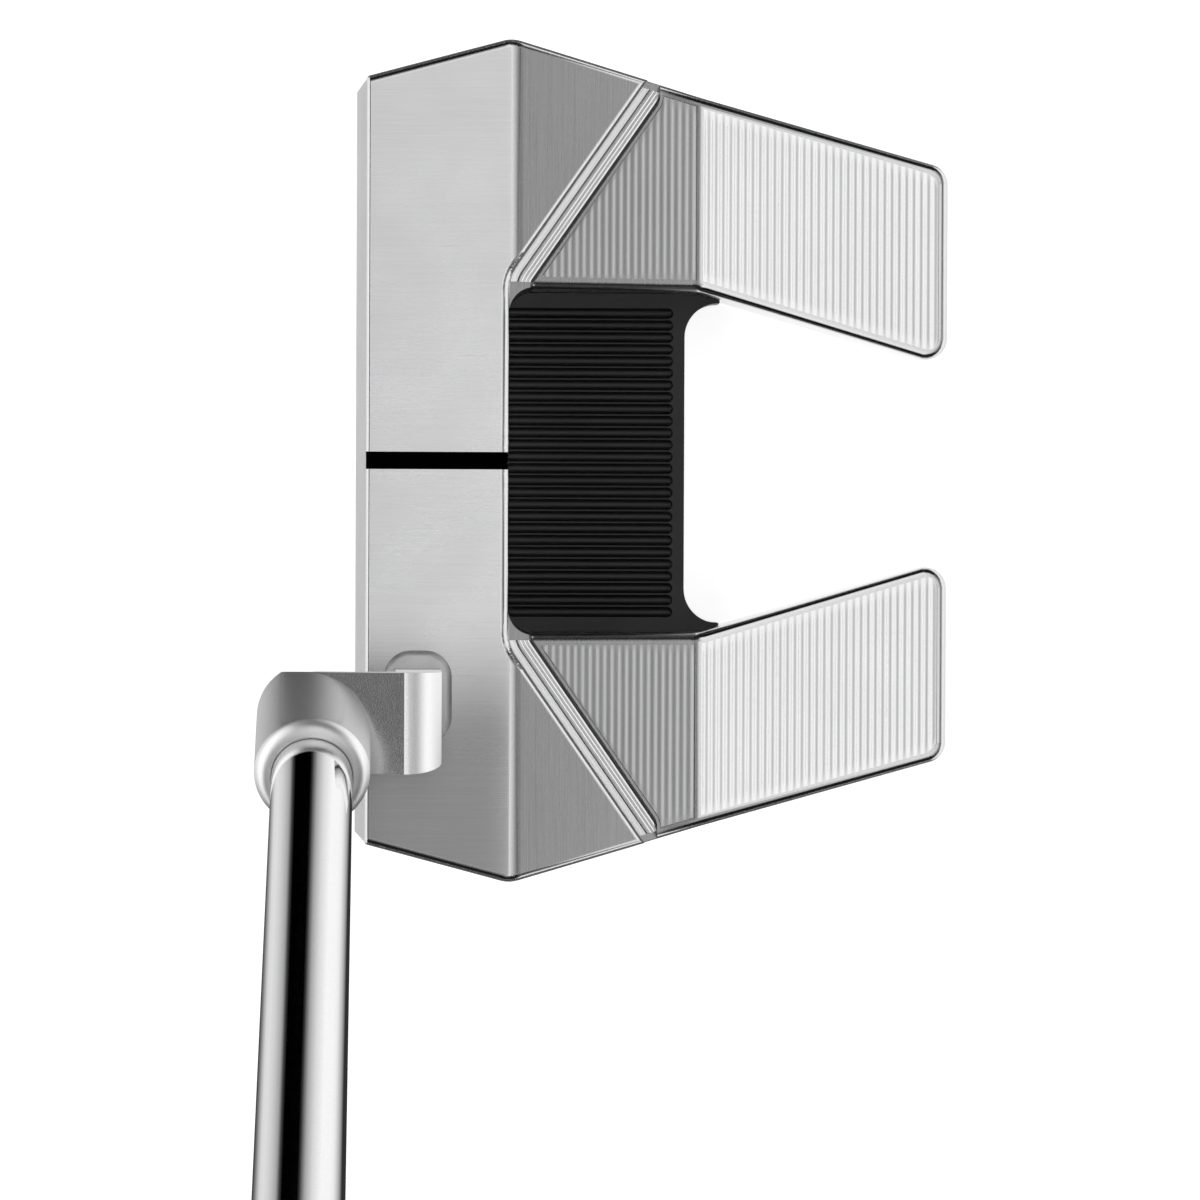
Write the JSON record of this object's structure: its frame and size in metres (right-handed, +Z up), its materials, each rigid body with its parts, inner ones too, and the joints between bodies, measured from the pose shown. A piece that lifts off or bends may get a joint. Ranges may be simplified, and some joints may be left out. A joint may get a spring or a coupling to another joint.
{
  "type": "mallet putter",
  "caption": "Golf putter with a milled mallet head, two rear wings, a dark ribbed flange, a plumbing neck, a chromed stepped shaft and a rubber pistol grip.",
  "frame": {"origin": "on the ground under the middle of the sole, at the club's address position", "axes": "+Z up, -Y the way the face looks, +Y to the rear, +X from the toe to the heel, where the shaft leans"},
  "size_m": [0.3737, 0.0905, 0.8141],
  "materials": {
    "head_alloy": "milled and satin blasted aluminium alloy",
    "neck_steel": "satin milled stainless steel, softly blasted",
    "flange_black": "black anodised, satin",
    "sight_paint": "black enamel paint fill",
    "screw_steel": "dark passivated steel",
    "weight_steel": "turned stainless steel",
    "damping": "matte elastomer",
    "shaft_chrome": "polished chrome plate",
    "plug_plastic": "moulded plastic",
    "tape": "double-sided crepe tape",
    "grip_rubber": "moulded rubber, matte, fine texture",
    "cap_rubber": "moulded rubber, satin"
  },
  "bodies": {
    "root": {"head_body": "head_alloy", "sight_line": "sight_paint", "sole_flange": "flange_black", "flange_gasket": "damping", "flange_screws": "screw_steel", "toe_weight": "weight_steel", "heel_weight": "weight_steel", "weight_washers": "damping", "plumbing_neck": "neck_steel", "neck_screw": "screw_steel", "shaft": "shaft_chrome", "tip_plug": "plug_plastic", "grip_tape": "tape", "grip": "grip_rubber", "grip_cap": "cap_rubber"}
  },
  "joints": []
}
